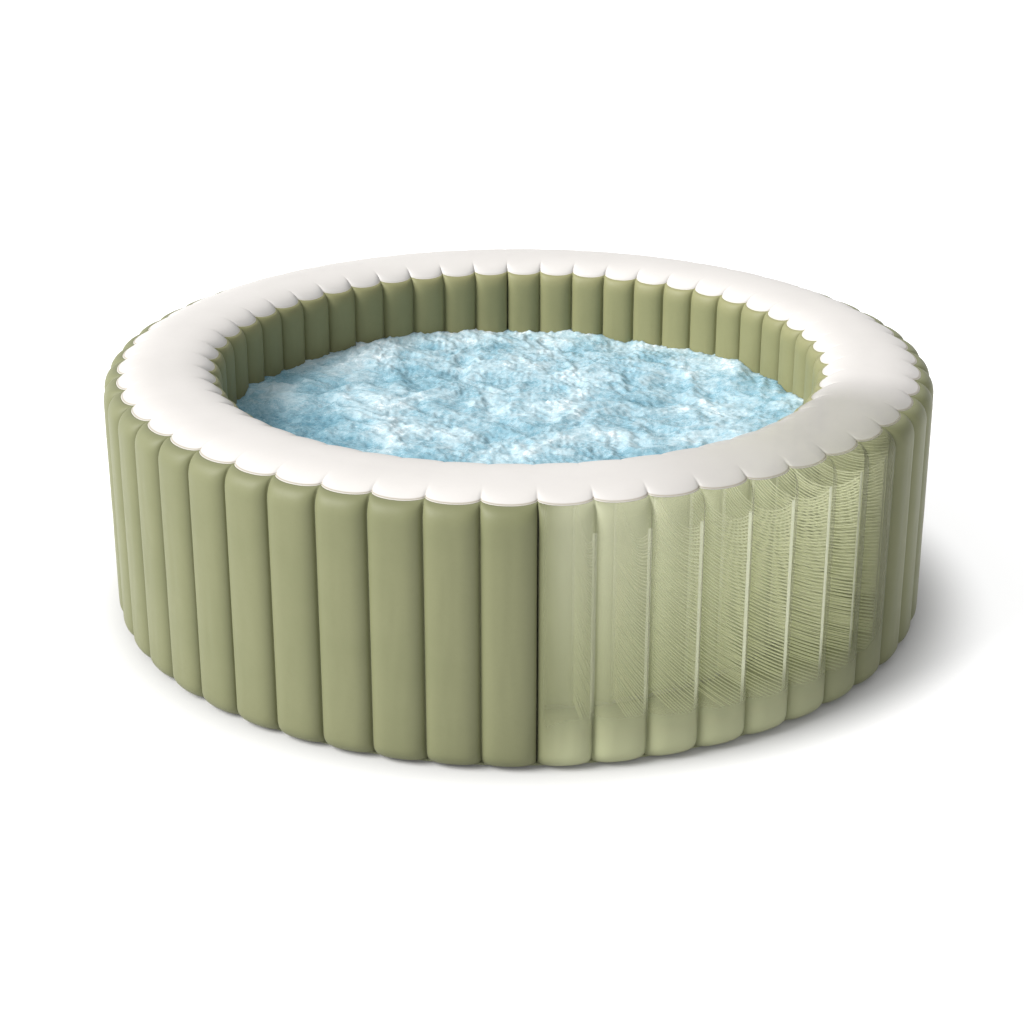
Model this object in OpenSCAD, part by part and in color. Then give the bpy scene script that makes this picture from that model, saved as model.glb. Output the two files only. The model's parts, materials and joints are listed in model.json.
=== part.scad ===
// Round inflatable hot tub.
// A fluted outer wall and a fluted inner wall are tied together by radial webs of
// threads, and closed by a crowned top sheet, a bottom sheet and a padded floor.
// Water, air, drain and inflation fittings sit in the flutes at the back, to the left.
// Units are millimetres. The origin is the centre of the underside, +Z is up and
// the front faces -Y. Angles are measured from the front, turning towards +X.

/* [Tub] */
// Outside diameter over the flutes
outer_d = 2160; // [1960:10:2300]
// Height of the crown of the rim
height = 670; // [640:5:720]
// Inside diameter between opposite inner flutes
inner_d = 1552; // [1500:4:1600]
// How far an outer flute stands out of its grooves
outer_bulge = 31; // [26:1:36]
// How far an inner flute stands out of its grooves
inner_bulge = 26; // [22:1:30]
// Thickness of the wall, top and bottom sheets
skin_t = 3; // [2:0.5:4]

/* [Rim and base] */
// Rounding at the top of the outer wall
outer_shoulder = 58; // [50:1:64]
// Rounding at the top of the inner wall
inner_shoulder = 52; // [46:1:56]
// Rounding at the foot of the outer wall
foot_round = 40; // [30:1:46]
// Rise of the top sheet from its edges to its crown
crown_rise = 18; // [12:1:24]
// Height of the floor that the bathers stand on
floor_top = 30; // [26:1:34]

/* [Webs] */
// Bottom of each web
web_bottom = 45; // [40:5:60]
// Top of each web at its two strips
web_top = 575; // [550:5:585]
// Depth of the hollow in each web's top edge
web_dip = 50; // [30:5:70]
// Width of the strips that hold a web's threads
strip_w = 24; // [18:1:28]
// Thickness of a strip
strip_t = 3; // [2:0.5:4]
// Thickness of a curtain of threads
thread_t = 2; // [1.5:0.5:3]

/* [Fittings] */
// Height of the two water ports
water_port_z = 200; // [180:5:260]
// Height of the air port
air_port_z = 120; // [110:5:140]
// Height of the drain
drain_z = 92; // [88:1:110]
// Height of the inflation valve
valve_z = 500; // [420:10:520]
// Radius of the thread on a water port's spigot
water_spigot_r = 29; // [27:0.5:31]
// Radius of the thread on the air port's spigot
air_spigot_r = 19; // [17:0.5:21]
// Radius of the thread on the drain's spigot
drain_spigot_r = 22; // [20:0.5:24]

/* [Hidden] */
$fn = 96;
flutes = 52;
pitch = 360 / flutes;
quarter_flutes = flutes / 4;
gap = 0.3;
far = 1300;
// The roundings reach past the flutes' crests, so they cut the flutes cleanly.
over = 8;

outer_r = outer_d / 2;
inner_r = inner_d / 2;
outer_groove_r = outer_r - outer_bulge;
inner_groove_r = inner_r + inner_bulge;

// A flute is an arc through two grooves. Its radius follows from chord and rise.
function arc_radius(half_chord, rise) = (half_chord * half_chord + rise * rise) / (2 * rise);
outer_flute_r = arc_radius(outer_groove_r * sin(pitch / 2), outer_bulge);
inner_flute_r = arc_radius(inner_groove_r * sin(pitch / 2), inner_bulge);
outer_flute_at = outer_r - outer_flute_r;
inner_flute_at = inner_r + inner_flute_r;

shoulder_z = height - crown_rise;
rim_out = outer_r - outer_shoulder;
rim_in = inner_r + inner_shoulder;
base_r = outer_r - foot_round;

// Webs run from just behind the inner grooves to just behind the outer grooves.
function behind_groove(at, r, side) =
    at * cos(pitch / 2) + side * sqrt(pow(r - skin_t, 2) - pow(at * sin(pitch / 2), 2));
web_in = behind_groove(inner_flute_at, inner_flute_r, -1) + gap;
web_out = behind_groove(outer_flute_at, outer_flute_r, 1) - gap;

// Flutes that carry a fitting, counted from the front flute.
valve_at = 28 * pitch;
outlet_at = 30 * pitch;
air_at = 32 * pitch;
inlet_at = 34 * pitch;
drain_at = 36 * pitch;

// Collars plug the walls, and are measured along the fitting's axis from the tub's axis.
collar_out = outer_r + 6;
collar_in = inner_r - 12;
collar_back = 20;
collar_depth = 36;
water_collar_r = 46;
water_inner_collar_r = 40;
small_collar_r = 34;
water_bore_r = 20;
air_bore_r = 12;
drain_bore_r = 15;
water_pipe_r = 25;
air_pipe_r = 16;
drain_pipe_r = 20;
gasket_t = 2;
flange_t = 6;
water_spigot_l = 36;
air_spigot_l = 30;
drain_spigot_l = 20;

// Bubble ring round the foot of the inner wall.
ring_tube_r = 12;
ring_wall = 2;
ring_at = inner_r - 24;
ring_z = floor_top + ring_tube_r + gap;
ring_holes = 26;
ring_hole_r = 2;

// Strainer cover over the inner end of a water port.
strainer_skirt_r = 44;
strainer_depth = 22;
strainer_wall = 3.6;
strainer_overlap = 6;
strainer_hole_r = 2.6;
strainer_rings = [[0, 1], [10, 6], [20, 12], [30, 18]];

// Drain cap and plug.
cap_wall = 5;
cap_face = 4;
cap_seal_t = 2;
cap_grips = 12;
plug_head_r = 24;
plug_shank_l = 24;

// Inflation valve.
valve_bore_r = 15;
valve_tube_r = 18;
valve_depth = 38;
valve_bridge_at = 28;
valve_bridge_t = 3;
stem_r = 3;
stem_guide_r = 3.3;
poppet_r = 16.5;
poppet_t = 3;
button_r = 7;
button_t = 4;
spring_r = 5.2;
spring_wire_r = 0.7;
spring_turns = 5;
cover_r = 32;
cover_t = 4;
hinge_y = 40;
knuckle_r = 4;
knuckle_half = 7.7;
lug_half = 14;
hinge_pin_r = 1.5;
hinge_bore_r = 1.57;

green = "darkkhaki";
white = "white";

// ---------------------------------------------------------------- placing
// Turns a shape built along +Z into one that points outwards at an angle from the front.
module outwards(angle, z) {
    rotate([0, 0, angle]) translate([0, 0, z]) rotate([90, 0, 0]) children();
}

// The slice of the tub that panel number n covers, with its edges in two grooves.
module quarter(n) {
    intersection() {
        children();
        rotate([0, 0, pitch / 2 + 90 * (n - 1)]) translate([0, -far, -1]) cube([far, far, height + 2]);
    }
}

module ring(r_out, r_in, h) {
    difference() {
        cylinder(r = r_out, h = h);
        translate([0, 0, -1]) cylinder(r = r_in, h = h + 2);
    }
}

// ---------------------------------------------------------------- walls
// Circles of the flutes that panel n needs, with one more on each side.
module flute_circles(n, at, r) {
    first = (n - 1) * quarter_flutes;
    for (k = [first : first + quarter_flutes + 1]) rotate(k * pitch) translate([0, -at]) circle(r = r);
}

// The space inside the outer wall's surface, drawn in by inset.
module outer_space(n, inset) {
    intersection() {
        translate([0, 0, inset]) linear_extrude(shoulder_z - 2 * inset) union() {
            flute_circles(n, outer_flute_at, outer_flute_r - inset);
            circle(r = outer_flute_at + 10);
        }
        rotate_extrude() {
            translate([0, foot_round + over])
                square([outer_r + over - inset, shoulder_z - foot_round - outer_shoulder - 2 * over]);
            translate([0, inset]) square([base_r, shoulder_z - 2 * inset]);
            translate([0, foot_round]) square([rim_out, shoulder_z - inset - foot_round]);
            translate([rim_out, shoulder_z - outer_shoulder - over]) circle(r = outer_shoulder + over - inset);
            translate([base_r, foot_round + over]) circle(r = foot_round + over - inset);
        }
    }
}

module outer_wall_panel(n) {
    color(green) difference() {
        quarter(n) difference() {
            outer_space(n, 0);
            outer_space(n, skin_t);
            translate([0, 0, -1]) cylinder(r = base_r, h = foot_round);
            translate([0, 0, foot_round]) cylinder(r = rim_out, h = height);
        }
        wall_holes(n, outer_r - 60, outer_r + 60, water_collar_r + gap, small_collar_r + gap);
    }
}

// The space behind the inner wall's surface, drawn in by inset.
module inner_space(n, inset) {
    intersection() {
        translate([0, 0, floor_top / 2 + gap]) linear_extrude(height) union() {
            flute_circles(n, inner_flute_at, inner_flute_r - inset);
            difference() {
                circle(r = rim_in + 20);
                circle(r = inner_flute_at - 12);
            }
        }
        rotate_extrude() {
            translate([inner_r - over + inset, -1]) square([far / 4, shoulder_z - inner_shoulder - over + 1]);
            translate([rim_in, -1]) square([far / 4, shoulder_z - inset + 1]);
            translate([rim_in, shoulder_z - inner_shoulder - over]) circle(r = inner_shoulder + over - inset);
        }
    }
}

module inner_wall_panel(n) {
    color(green) difference() {
        quarter(n) difference() {
            inner_space(n, 0);
            inner_space(n, skin_t);
            ring(far, rim_in, height);
        }
        wall_holes(n, inner_r - 60, inner_r + 60, water_inner_collar_r + gap, small_collar_r + gap);
    }
}

// Holes for the fittings, which all pass through panel 3, from radius a to radius b.
module wall_holes(n, a, b, r_water, r_small) {
    if (n == 3) {
        outwards(outlet_at, water_port_z) translate([0, 0, a]) cylinder(r = r_water, h = b - a);
        outwards(inlet_at, water_port_z) translate([0, 0, a]) cylinder(r = r_water, h = b - a);
        outwards(air_at, air_port_z) translate([0, 0, a]) cylinder(r = r_small, h = b - a);
        outwards(drain_at, drain_z) translate([0, 0, a]) cylinder(r = r_small, h = b - a);
        if (a > inner_groove_r) outwards(valve_at, valve_z) translate([0, 0, a]) cylinder(r = r_small, h = b - a);
    }
}

// ---------------------------------------------------------------- sheets and floor
module top_rim() {
    half = (rim_out - rim_in) / 2;
    crown_r = arc_radius(half, crown_rise);
    mid = (rim_out + rim_in) / 2;
    color(white) rotate_extrude() intersection() {
        difference() {
            translate([mid, height - crown_r]) circle(r = crown_r);
            translate([mid, height - crown_r]) circle(r = crown_r - skin_t);
        }
        translate([rim_in + gap, shoulder_z - skin_t - 1]) square([2 * (half - gap), crown_rise + skin_t + 2]);
    }
}

module bottom_sheet() {
    color(green) cylinder(r = base_r - gap, h = skin_t);
}

module floor_pad() {
    color("gainsboro") translate([0, 0, skin_t]) cylinder(r = inner_r - gap, h = floor_top - 2 * skin_t);
}

module floor_sheet() {
    color("lightblue") translate([0, 0, floor_top - skin_t]) cylinder(r = inner_r - gap, h = skin_t);
}

// ---------------------------------------------------------------- webs
module at_webs(n) {
    first = (n - 1) * quarter_flutes;
    for (k = [first : first + quarter_flutes - 1]) rotate([0, 0, (k + 1) * pitch - pitch / 2]) children();
}

module web_outer_strips(n) {
    color(green) at_webs(n) translate([-strip_w / 2, -web_out, web_bottom])
        cube([strip_w, strip_t, web_top - web_bottom]);
}

module web_inner_strips(n) {
    color(green) at_webs(n) translate([-strip_w / 2, -web_in - strip_t, web_bottom])
        cube([strip_w, strip_t, web_top - web_bottom]);
}

module web_threads(n) {
    span = web_out - web_in - 2 * strip_t;
    dip_r = arc_radius(span / 2, web_dip);
    color("palegoldenrod") at_webs(n) difference() {
        translate([-thread_t / 2, -web_out + strip_t, web_bottom]) cube([thread_t, span, web_top - web_bottom]);
        translate([0, -(web_out + web_in) / 2, web_top - web_dip + dip_r]) rotate([0, 90, 0])
            cylinder(r = dip_r, h = 4 * thread_t, center = true);
    }
}

// ---------------------------------------------------------------- water and air ports
// A pipe through the wall with a collar in each skin.
module wall_pipe(r_pipe, r_bore, r_collar_out, r_collar_in) {
    difference() {
        union() {
            translate([0, 0, collar_in]) cylinder(r = r_pipe, h = collar_out - collar_in);
            translate([0, 0, collar_out - collar_back - flange_t]) cylinder(r = r_collar_out, h = collar_back + flange_t);
            translate([0, 0, collar_in]) cylinder(r = r_collar_in, h = collar_depth);
        }
        translate([0, 0, collar_in - 1]) cylinder(r = r_bore, h = collar_out - collar_in + 2);
    }
}

module face_gasket(r_out, r_in) {
    color("dimgray") translate([0, 0, collar_out]) ring(r_out, r_in, gasket_t);
}

module spigot(r_flange, r_thread, r_bore, l) {
    color("gray") translate([0, 0, collar_out + gasket_t]) difference() {
        union() {
            cylinder(r = r_flange, h = flange_t);
            cylinder(r = r_thread, h = flange_t + l);
        }
        translate([0, 0, -1]) cylinder(r = r_bore, h = flange_t + l + 2);
        for (a = [45 : 90 : 315]) rotate(a) translate([(r_flange + r_thread) / 2, 0, -1])
            cylinder(r = 2.2, h = flange_t + 2);
    }
}

module flange_screws(r_flange, r_thread) {
    color("silver") for (a = [45 : 90 : 315]) rotate(a)
        translate([(r_flange + r_thread) / 2, 0, collar_out + gasket_t + flange_t]) cylinder(r = 3.6, h = 2.4);
}

module water_port_body(at) {
    color("gray") outwards(at, water_port_z)
        wall_pipe(water_pipe_r, water_bore_r, water_collar_r, water_inner_collar_r);
}

module water_port_gasket(at) {
    outwards(at, water_port_z) face_gasket(water_collar_r - 2, water_bore_r + 2);
}

module water_port_spigot(at) {
    outwards(at, water_port_z) spigot(water_collar_r - 1, water_spigot_r, water_bore_r, water_spigot_l);
}

module water_port_screws(at) {
    outwards(at, water_port_z) flange_screws(water_collar_r - 1, water_spigot_r);
}

// A cup with a drilled face, turned onto the port's inner collar.
module strainer_cover(at) {
    face_at = collar_in + strainer_overlap - strainer_depth;
    color("silver") outwards(at, water_port_z) difference() {
        translate([0, 0, face_at]) cylinder(r = strainer_skirt_r, h = strainer_depth);
        translate([0, 0, face_at + strainer_wall]) cylinder(r = water_inner_collar_r + gap, h = strainer_depth);
        for (row = strainer_rings) for (k = [0 : row[1] - 1]) rotate(k * 360 / row[1])
            translate([row[0], 0, face_at - 1]) cylinder(r = strainer_hole_r, h = strainer_wall + 2);
        for (k = [0 : 11]) rotate(k * 30) translate([strainer_skirt_r + 1.5, 0, face_at - 1])
            cylinder(r = 3, h = strainer_depth + 2);
    }
}

module air_port_body() {
    color("gray") outwards(air_at, air_port_z) wall_pipe(air_pipe_r, air_bore_r, small_collar_r, small_collar_r);
}

module air_port_gasket() {
    outwards(air_at, air_port_z) face_gasket(small_collar_r - 2, air_bore_r + 2);
}

module air_port_spigot() {
    outwards(air_at, air_port_z) spigot(small_collar_r - 1, air_spigot_r, air_bore_r, air_spigot_l);
}

module air_port_screws() {
    outwards(air_at, air_port_z) flange_screws(small_collar_r - 1, air_spigot_r);
}

// Carries the air from the port down to the bubble ring.
module air_elbow() {
    elbow_r = 11.4;
    elbow_bore = 9;
    foot_z = ring_z + ring_tube_r + 0.5;
    color("gray") difference() {
        union() {
            outwards(air_at, air_port_z) translate([0, 0, ring_at]) cylinder(r = elbow_r, h = collar_in - ring_at - gap);
            rotate([0, 0, air_at]) translate([0, -ring_at, air_port_z]) sphere(r = elbow_r);
            rotate([0, 0, air_at]) translate([0, -ring_at, foot_z]) cylinder(r = elbow_r, h = air_port_z - foot_z);
        }
        outwards(air_at, air_port_z) translate([0, 0, ring_at]) cylinder(r = elbow_bore, h = 40);
        rotate([0, 0, air_at]) translate([0, -ring_at, foot_z - 1]) cylinder(r = elbow_bore, h = air_port_z - foot_z + 1);
    }
}

module bubble_ring() {
    color("gray") difference() {
        rotate_extrude() translate([ring_at, ring_z]) difference() {
            circle(r = ring_tube_r);
            circle(r = ring_tube_r - ring_wall);
        }
        for (k = [0 : ring_holes - 1]) rotate(k * 360 / ring_holes)
            translate([0, -ring_at, ring_z]) cylinder(r = ring_hole_r, h = ring_tube_r + 2);
    }
}

// ---------------------------------------------------------------- drain
module drain_body() {
    color("gray") outwards(drain_at, drain_z) {
        wall_pipe(drain_pipe_r, drain_bore_r, small_collar_r, small_collar_r);
        translate([0, 0, collar_out - 1]) ring(drain_spigot_r, drain_bore_r, drain_spigot_l + 1);
    }
}

module drain_cap_seal() {
    color("dimgray") outwards(drain_at, drain_z) translate([0, 0, collar_out + drain_spigot_l])
        cylinder(r = drain_spigot_r - 0.5, h = cap_seal_t);
}

module drain_cap() {
    seat = collar_out + drain_spigot_l + cap_seal_t + gap;
    cap_from = collar_out + 3;
    cap_r = drain_spigot_r + gap + cap_wall;
    color("dimgray") outwards(drain_at, drain_z) difference() {
        translate([0, 0, cap_from]) cylinder(r = cap_r, h = seat + cap_face - cap_from);
        translate([0, 0, cap_from - 1]) cylinder(r = drain_spigot_r + gap, h = seat - cap_from + 1);
        for (k = [0 : cap_grips - 1]) rotate(k * 360 / cap_grips) translate([cap_r + 1, 0, cap_from - 1])
            cylinder(r = 2.6, h = seat + cap_face - cap_from + 2);
    }
}

module drain_plug() {
    color("dimgray") outwards(drain_at, drain_z) union() {
        translate([0, 0, collar_in - 1]) cylinder(r = drain_bore_r - 0.1, h = plug_shank_l + 1);
        translate([0, 0, collar_in - gap - 5]) cylinder(r = plug_head_r, h = 5);
        translate([0, 0, collar_in - 17]) rotate([0, 90, 0]) translate([0, 0, -2]) difference() {
            union() {
                cylinder(r = 11, h = 4);
                translate([-13, -11, 0]) cube([13, 22, 4]);
            }
            translate([0, 0, -1]) cylinder(r = 7, h = 6);
        }
    }
}

// ---------------------------------------------------------------- inflation valve
module valve_body() {
    bridge = collar_out - valve_bridge_at;
    color("gray") outwards(valve_at, valve_z) {
        difference() {
            union() {
                translate([0, 0, collar_out - collar_back - flange_t])
                    cylinder(r = small_collar_r, h = collar_back + flange_t);
                translate([0, 0, collar_out - valve_depth]) cylinder(r = valve_tube_r, h = valve_depth);
                for (side = [-1, 1]) translate([side * (lug_half + knuckle_half + gap) / 2, 0, 0])
                    hinge_knuckle(lug_half - knuckle_half - gap, small_collar_r - 4, collar_out - 5.5);
            }
            translate([0, 0, collar_out - valve_depth - 1]) cylinder(r = valve_bore_r, h = valve_depth + 2);
            translate([0, hinge_y, collar_out]) rotate([0, 90, 0]) cylinder(r = hinge_pin_r, h = 60, center = true);
        }
        translate([0, 0, bridge]) difference() {
            cylinder(r = valve_bore_r + 1, h = valve_bridge_t);
            translate([0, 0, -1]) cylinder(r = stem_guide_r, h = valve_bridge_t + 2);
            for (a = [0 : 60 : 300]) rotate(a) translate([9.5, 0, -1]) cylinder(r = 3, h = valve_bridge_t + 2);
        }
    }
}

// One knuckle of the cover's hinge, w wide, reaching from y_from to the hinge's axis.
module hinge_knuckle(w, y_from, z_from) {
    translate([0, hinge_y, collar_out]) rotate([0, 90, 0]) cylinder(r = knuckle_r, h = w, center = true);
    translate([-w / 2, y_from, z_from]) cube([w, hinge_y - y_from, collar_out - z_from]);
}

module valve_stem() {
    seat = collar_out - valve_depth;
    button_at = collar_out - 12;
    color("silver") outwards(valve_at, valve_z) {
        translate([0, 0, seat - gap - poppet_t]) cylinder(r = poppet_r, h = poppet_t);
        translate([0, 0, seat - gap - poppet_t]) cylinder(r = stem_r, h = button_at - seat + poppet_t + gap);
        translate([0, 0, button_at]) cylinder(r = button_r, h = button_t);
    }
}

// Rings stand for the turns of the coil, joined by a short riser.
module valve_spring() {
    low = collar_out - valve_bridge_at + valve_bridge_t + spring_wire_r;
    high = collar_out - 12 - spring_wire_r;
    step = (high - low) / (spring_turns - 1);
    color("silver") outwards(valve_at, valve_z) {
        for (k = [0 : spring_turns - 1]) translate([0, 0, low + k * step]) rotate_extrude()
            translate([spring_r, 0]) circle(r = spring_wire_r);
        translate([spring_r, 0, low]) cylinder(r = spring_wire_r * 0.8, h = high - low);
    }
}

module valve_cover() {
    lift = 1.5;
    color("dimgray") outwards(valve_at, valve_z) difference() {
        union() {
            translate([0, 0, collar_out + gap]) cylinder(r = cover_r, h = cover_t);
            translate([-knuckle_half, 0, collar_out + gap]) cube([2 * knuckle_half, hinge_y, cover_t]);
            translate([0, hinge_y, collar_out]) rotate([0, 90, 0])
                cylinder(r = knuckle_r, h = 2 * knuckle_half, center = true);
            translate([-8, -cover_r - 6, collar_out + gap + lift]) cube([16, 10, cover_t - lift]);
            translate([0, 0, collar_out - 4]) cylinder(r = valve_bore_r - 0.6, h = 5);
        }
        translate([0, hinge_y, collar_out]) rotate([0, 90, 0])
            cylinder(r = hinge_bore_r, h = 4 * knuckle_half, center = true);
    }
}

module valve_cover_pin() {
    color("silver") outwards(valve_at, valve_z) translate([0, hinge_y, collar_out]) rotate([0, 90, 0])
        cylinder(r = hinge_pin_r, h = 2 * lug_half, center = true);
}

// ---------------------------------------------------------------- nodes
NODES = [
    for (n = [1 : 4]) str("outer_wall_panel_", n),
    for (n = [1 : 4]) str("inner_wall_panel_", n),
    for (n = [1 : 4]) str("web_outer_strips_", n),
    for (n = [1 : 4]) str("web_inner_strips_", n),
    for (n = [1 : 4]) str("web_threads_", n),
    "top_rim", "bottom_sheet", "floor_pad", "floor_sheet",
    "outlet_port_body", "outlet_port_gasket", "outlet_port_spigot", "outlet_port_screws", "outlet_strainer_cover",
    "inlet_port_body", "inlet_port_gasket", "inlet_port_spigot", "inlet_port_screws", "inlet_strainer_cover",
    "air_port_body", "air_port_gasket", "air_port_spigot", "air_port_screws", "air_elbow", "bubble_ring",
    "drain_body", "drain_cap_seal", "drain_cap", "drain_plug",
    "valve_body", "valve_stem", "valve_spring", "valve_cover", "valve_cover_pin"
];
node = "all";

function wanted(name) = node == "all" || node == name;

for (n = [1 : 4]) {
    if (wanted(str("outer_wall_panel_", n))) outer_wall_panel(n);
    if (wanted(str("inner_wall_panel_", n))) inner_wall_panel(n);
    if (wanted(str("web_outer_strips_", n))) web_outer_strips(n);
    if (wanted(str("web_inner_strips_", n))) web_inner_strips(n);
    if (wanted(str("web_threads_", n))) web_threads(n);
}
if (wanted("top_rim")) top_rim();
if (wanted("bottom_sheet")) bottom_sheet();
if (wanted("floor_pad")) floor_pad();
if (wanted("floor_sheet")) floor_sheet();
if (wanted("outlet_port_body")) water_port_body(outlet_at);
if (wanted("outlet_port_gasket")) water_port_gasket(outlet_at);
if (wanted("outlet_port_spigot")) water_port_spigot(outlet_at);
if (wanted("outlet_port_screws")) water_port_screws(outlet_at);
if (wanted("outlet_strainer_cover")) strainer_cover(outlet_at);
if (wanted("inlet_port_body")) water_port_body(inlet_at);
if (wanted("inlet_port_gasket")) water_port_gasket(inlet_at);
if (wanted("inlet_port_spigot")) water_port_spigot(inlet_at);
if (wanted("inlet_port_screws")) water_port_screws(inlet_at);
if (wanted("inlet_strainer_cover")) strainer_cover(inlet_at);
if (wanted("air_port_body")) air_port_body();
if (wanted("air_port_gasket")) air_port_gasket();
if (wanted("air_port_spigot")) air_port_spigot();
if (wanted("air_port_screws")) air_port_screws();
if (wanted("air_elbow")) air_elbow();
if (wanted("bubble_ring")) bubble_ring();
if (wanted("drain_body")) drain_body();
if (wanted("drain_cap_seal")) drain_cap_seal();
if (wanted("drain_cap")) drain_cap();
if (wanted("drain_plug")) drain_plug();
if (wanted("valve_body")) valve_body();
if (wanted("valve_stem")) valve_stem();
if (wanted("valve_spring")) valve_spring();
if (wanted("valve_cover")) valve_cover();
if (wanted("valve_cover_pin")) valve_cover_pin();
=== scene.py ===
import json
import math

import bpy
import numpy as np
from mathutils import Matrix, Vector


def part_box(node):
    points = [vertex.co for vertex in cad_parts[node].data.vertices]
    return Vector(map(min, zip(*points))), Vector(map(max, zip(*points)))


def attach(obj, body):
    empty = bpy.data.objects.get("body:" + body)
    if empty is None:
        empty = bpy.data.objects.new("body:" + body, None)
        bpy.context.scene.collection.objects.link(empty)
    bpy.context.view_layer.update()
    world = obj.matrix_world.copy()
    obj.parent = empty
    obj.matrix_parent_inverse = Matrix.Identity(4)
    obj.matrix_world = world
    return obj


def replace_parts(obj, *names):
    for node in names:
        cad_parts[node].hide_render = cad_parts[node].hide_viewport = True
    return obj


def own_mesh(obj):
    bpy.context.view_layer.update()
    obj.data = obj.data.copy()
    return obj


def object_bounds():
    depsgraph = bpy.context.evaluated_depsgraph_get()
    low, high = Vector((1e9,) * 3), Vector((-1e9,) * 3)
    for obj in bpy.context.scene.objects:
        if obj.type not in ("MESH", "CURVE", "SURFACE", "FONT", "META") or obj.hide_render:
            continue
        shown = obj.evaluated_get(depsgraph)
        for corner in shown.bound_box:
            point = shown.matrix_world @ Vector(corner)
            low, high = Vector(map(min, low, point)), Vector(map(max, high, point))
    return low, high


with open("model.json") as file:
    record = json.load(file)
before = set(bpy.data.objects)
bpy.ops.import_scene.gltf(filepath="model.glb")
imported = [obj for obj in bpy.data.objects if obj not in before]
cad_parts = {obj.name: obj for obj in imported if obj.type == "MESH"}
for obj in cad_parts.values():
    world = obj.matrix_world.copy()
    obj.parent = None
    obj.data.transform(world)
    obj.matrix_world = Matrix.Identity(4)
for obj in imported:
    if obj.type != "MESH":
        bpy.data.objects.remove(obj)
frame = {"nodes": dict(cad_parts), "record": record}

CAD_LOW, CAD_HIGH = [list(v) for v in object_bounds()]

# ---------------------------------------------------------------- sizes, from the frame
OUT_R = CAD_HIGH[0]
TOP_Z = CAD_HIGH[2]
FLOOR_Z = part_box("floor_sheet")[1][2]
IN_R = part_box("floor_sheet")[1][0] + 0.0003
WEB_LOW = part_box("web_threads_1")[0][2]
WEB_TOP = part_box("web_outer_strips_1")[1][2]

# Radius of the grooves between the flutes, outside and inside.
OUT_GROOVE = OUT_R - 0.031
IN_GROOVE = IN_R + 0.026

# Flutes round the tub and in each of its four panels, and the angle of one.
FLUTES = 52
PER_PANEL = FLUTES // 4
PITCH = 2 * math.pi / FLUTES

# Columns of mesh across one flute.
OUT_COLUMNS, IN_COLUMNS, RIM_COLUMNS = 26, 22, 20

# Thickness of the wall's and the rim's vinyl.
SKIN = 0.0012
RIM_SKIN = 0.0014

# Exponent of the round shoulders and feet, and their heights.
ROUND = 2 / 2.25
FOOT_Z, FOOT_H = 0.0004, 0.046
OUT_SHOULDER, IN_SHOULDER = 0.05, 0.046
IN_FOOT_Z = 0.0185

# The rim sheet: its level at the welds, how far it lies under the crown, and its border under the walls.
RIM_LOW = 0.6475
RIM_CLEAR = 0.0008
TUCK = 0.0022

# Threads and welded strips of the webs.
THREAD_R, THREAD_STEP = 0.0018, 0.0092
STRIP_WIDE = 0.0105

# Still level of the water, and how far down its solid goes.
WATER_Z, WATER_DEEP = 0.462, 0.06


# ---------------------------------------------------------------- meshes
def volume(verts, groups):
    """Six times the volume inside closed faces. It is below zero when they are inside out."""
    p = verts.astype(float) - verts.mean(axis=0)
    total = 0
    for g in groups:
        for k in range(1, g.shape[1] - 1):
            total += np.sum(p[g[:, 0]] * np.cross(p[g[:, k]], p[g[:, k + 1]]))
    return total


def mesh_piece(name, verts, faces, material, lining=None, lined=None):
    """A closed mesh, turned outwards. Faces lined[0] to lined[1] get the lining."""
    me = bpy.data.meshes.new(name)
    verts = np.asarray(verts, dtype=np.float32).reshape(-1, 3)
    groups = [np.asarray(f, dtype=np.int32) for f in faces if len(f)]
    if volume(verts, groups) < 0:
        groups = [g[:, ::-1] for g in groups]
    loops = np.concatenate([g.ravel() for g in groups])
    counts = np.concatenate([np.full(len(g), g.shape[1], dtype=np.int32) for g in groups])
    starts = np.concatenate([[0], np.cumsum(counts)[:-1]]).astype(np.int32)
    me.vertices.add(len(verts))
    me.vertices.foreach_set("co", verts.ravel())
    me.loops.add(len(loops))
    me.loops.foreach_set("vertex_index", loops)
    me.polygons.add(len(counts))
    me.polygons.foreach_set("loop_start", starts)
    me.polygons.foreach_set("loop_total", counts)
    me.polygons.foreach_set("use_smooth", np.full(len(counts), True))
    me.update(calc_edges=True)
    me.validate()
    me.materials.append(material)
    if lining:
        me.materials.append(lining)
        index = np.zeros(len(counts), dtype=np.int32)
        index[lined[0] : lined[1]] = 1
        me.polygons.foreach_set("material_index", index)
    ob = bpy.data.objects.new(name, me)
    bpy.context.scene.collection.objects.link(ob)
    return ob


def grid_faces(rows, cols, close_cols=False, start=0, flip=False):
    """Quads of a rows x cols grid of points numbered row by row."""
    i = np.arange(rows - 1)[:, None]
    j = np.arange(cols if close_cols else cols - 1)[None, :]
    a = i * cols + j
    b = i * cols + (j + 1) % cols
    q = np.stack([a, b, b + cols, a + cols], -1).reshape(-1, 4) + start
    return q[:, ::-1] if flip else q


def grid_normals(p, close_cols=False):
    """Unit normals of a grid of points."""
    du = np.gradient(p, axis=1)
    if close_cols:
        du[:, 0] = (p[:, 1] - p[:, -1]) / 2
        du[:, -1] = (p[:, 0] - p[:, -2]) / 2
    dv = np.gradient(p, axis=0)
    n = np.cross(du, dv)
    return n / np.maximum(np.linalg.norm(n, axis=-1, keepdims=True), 1e-12)


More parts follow.
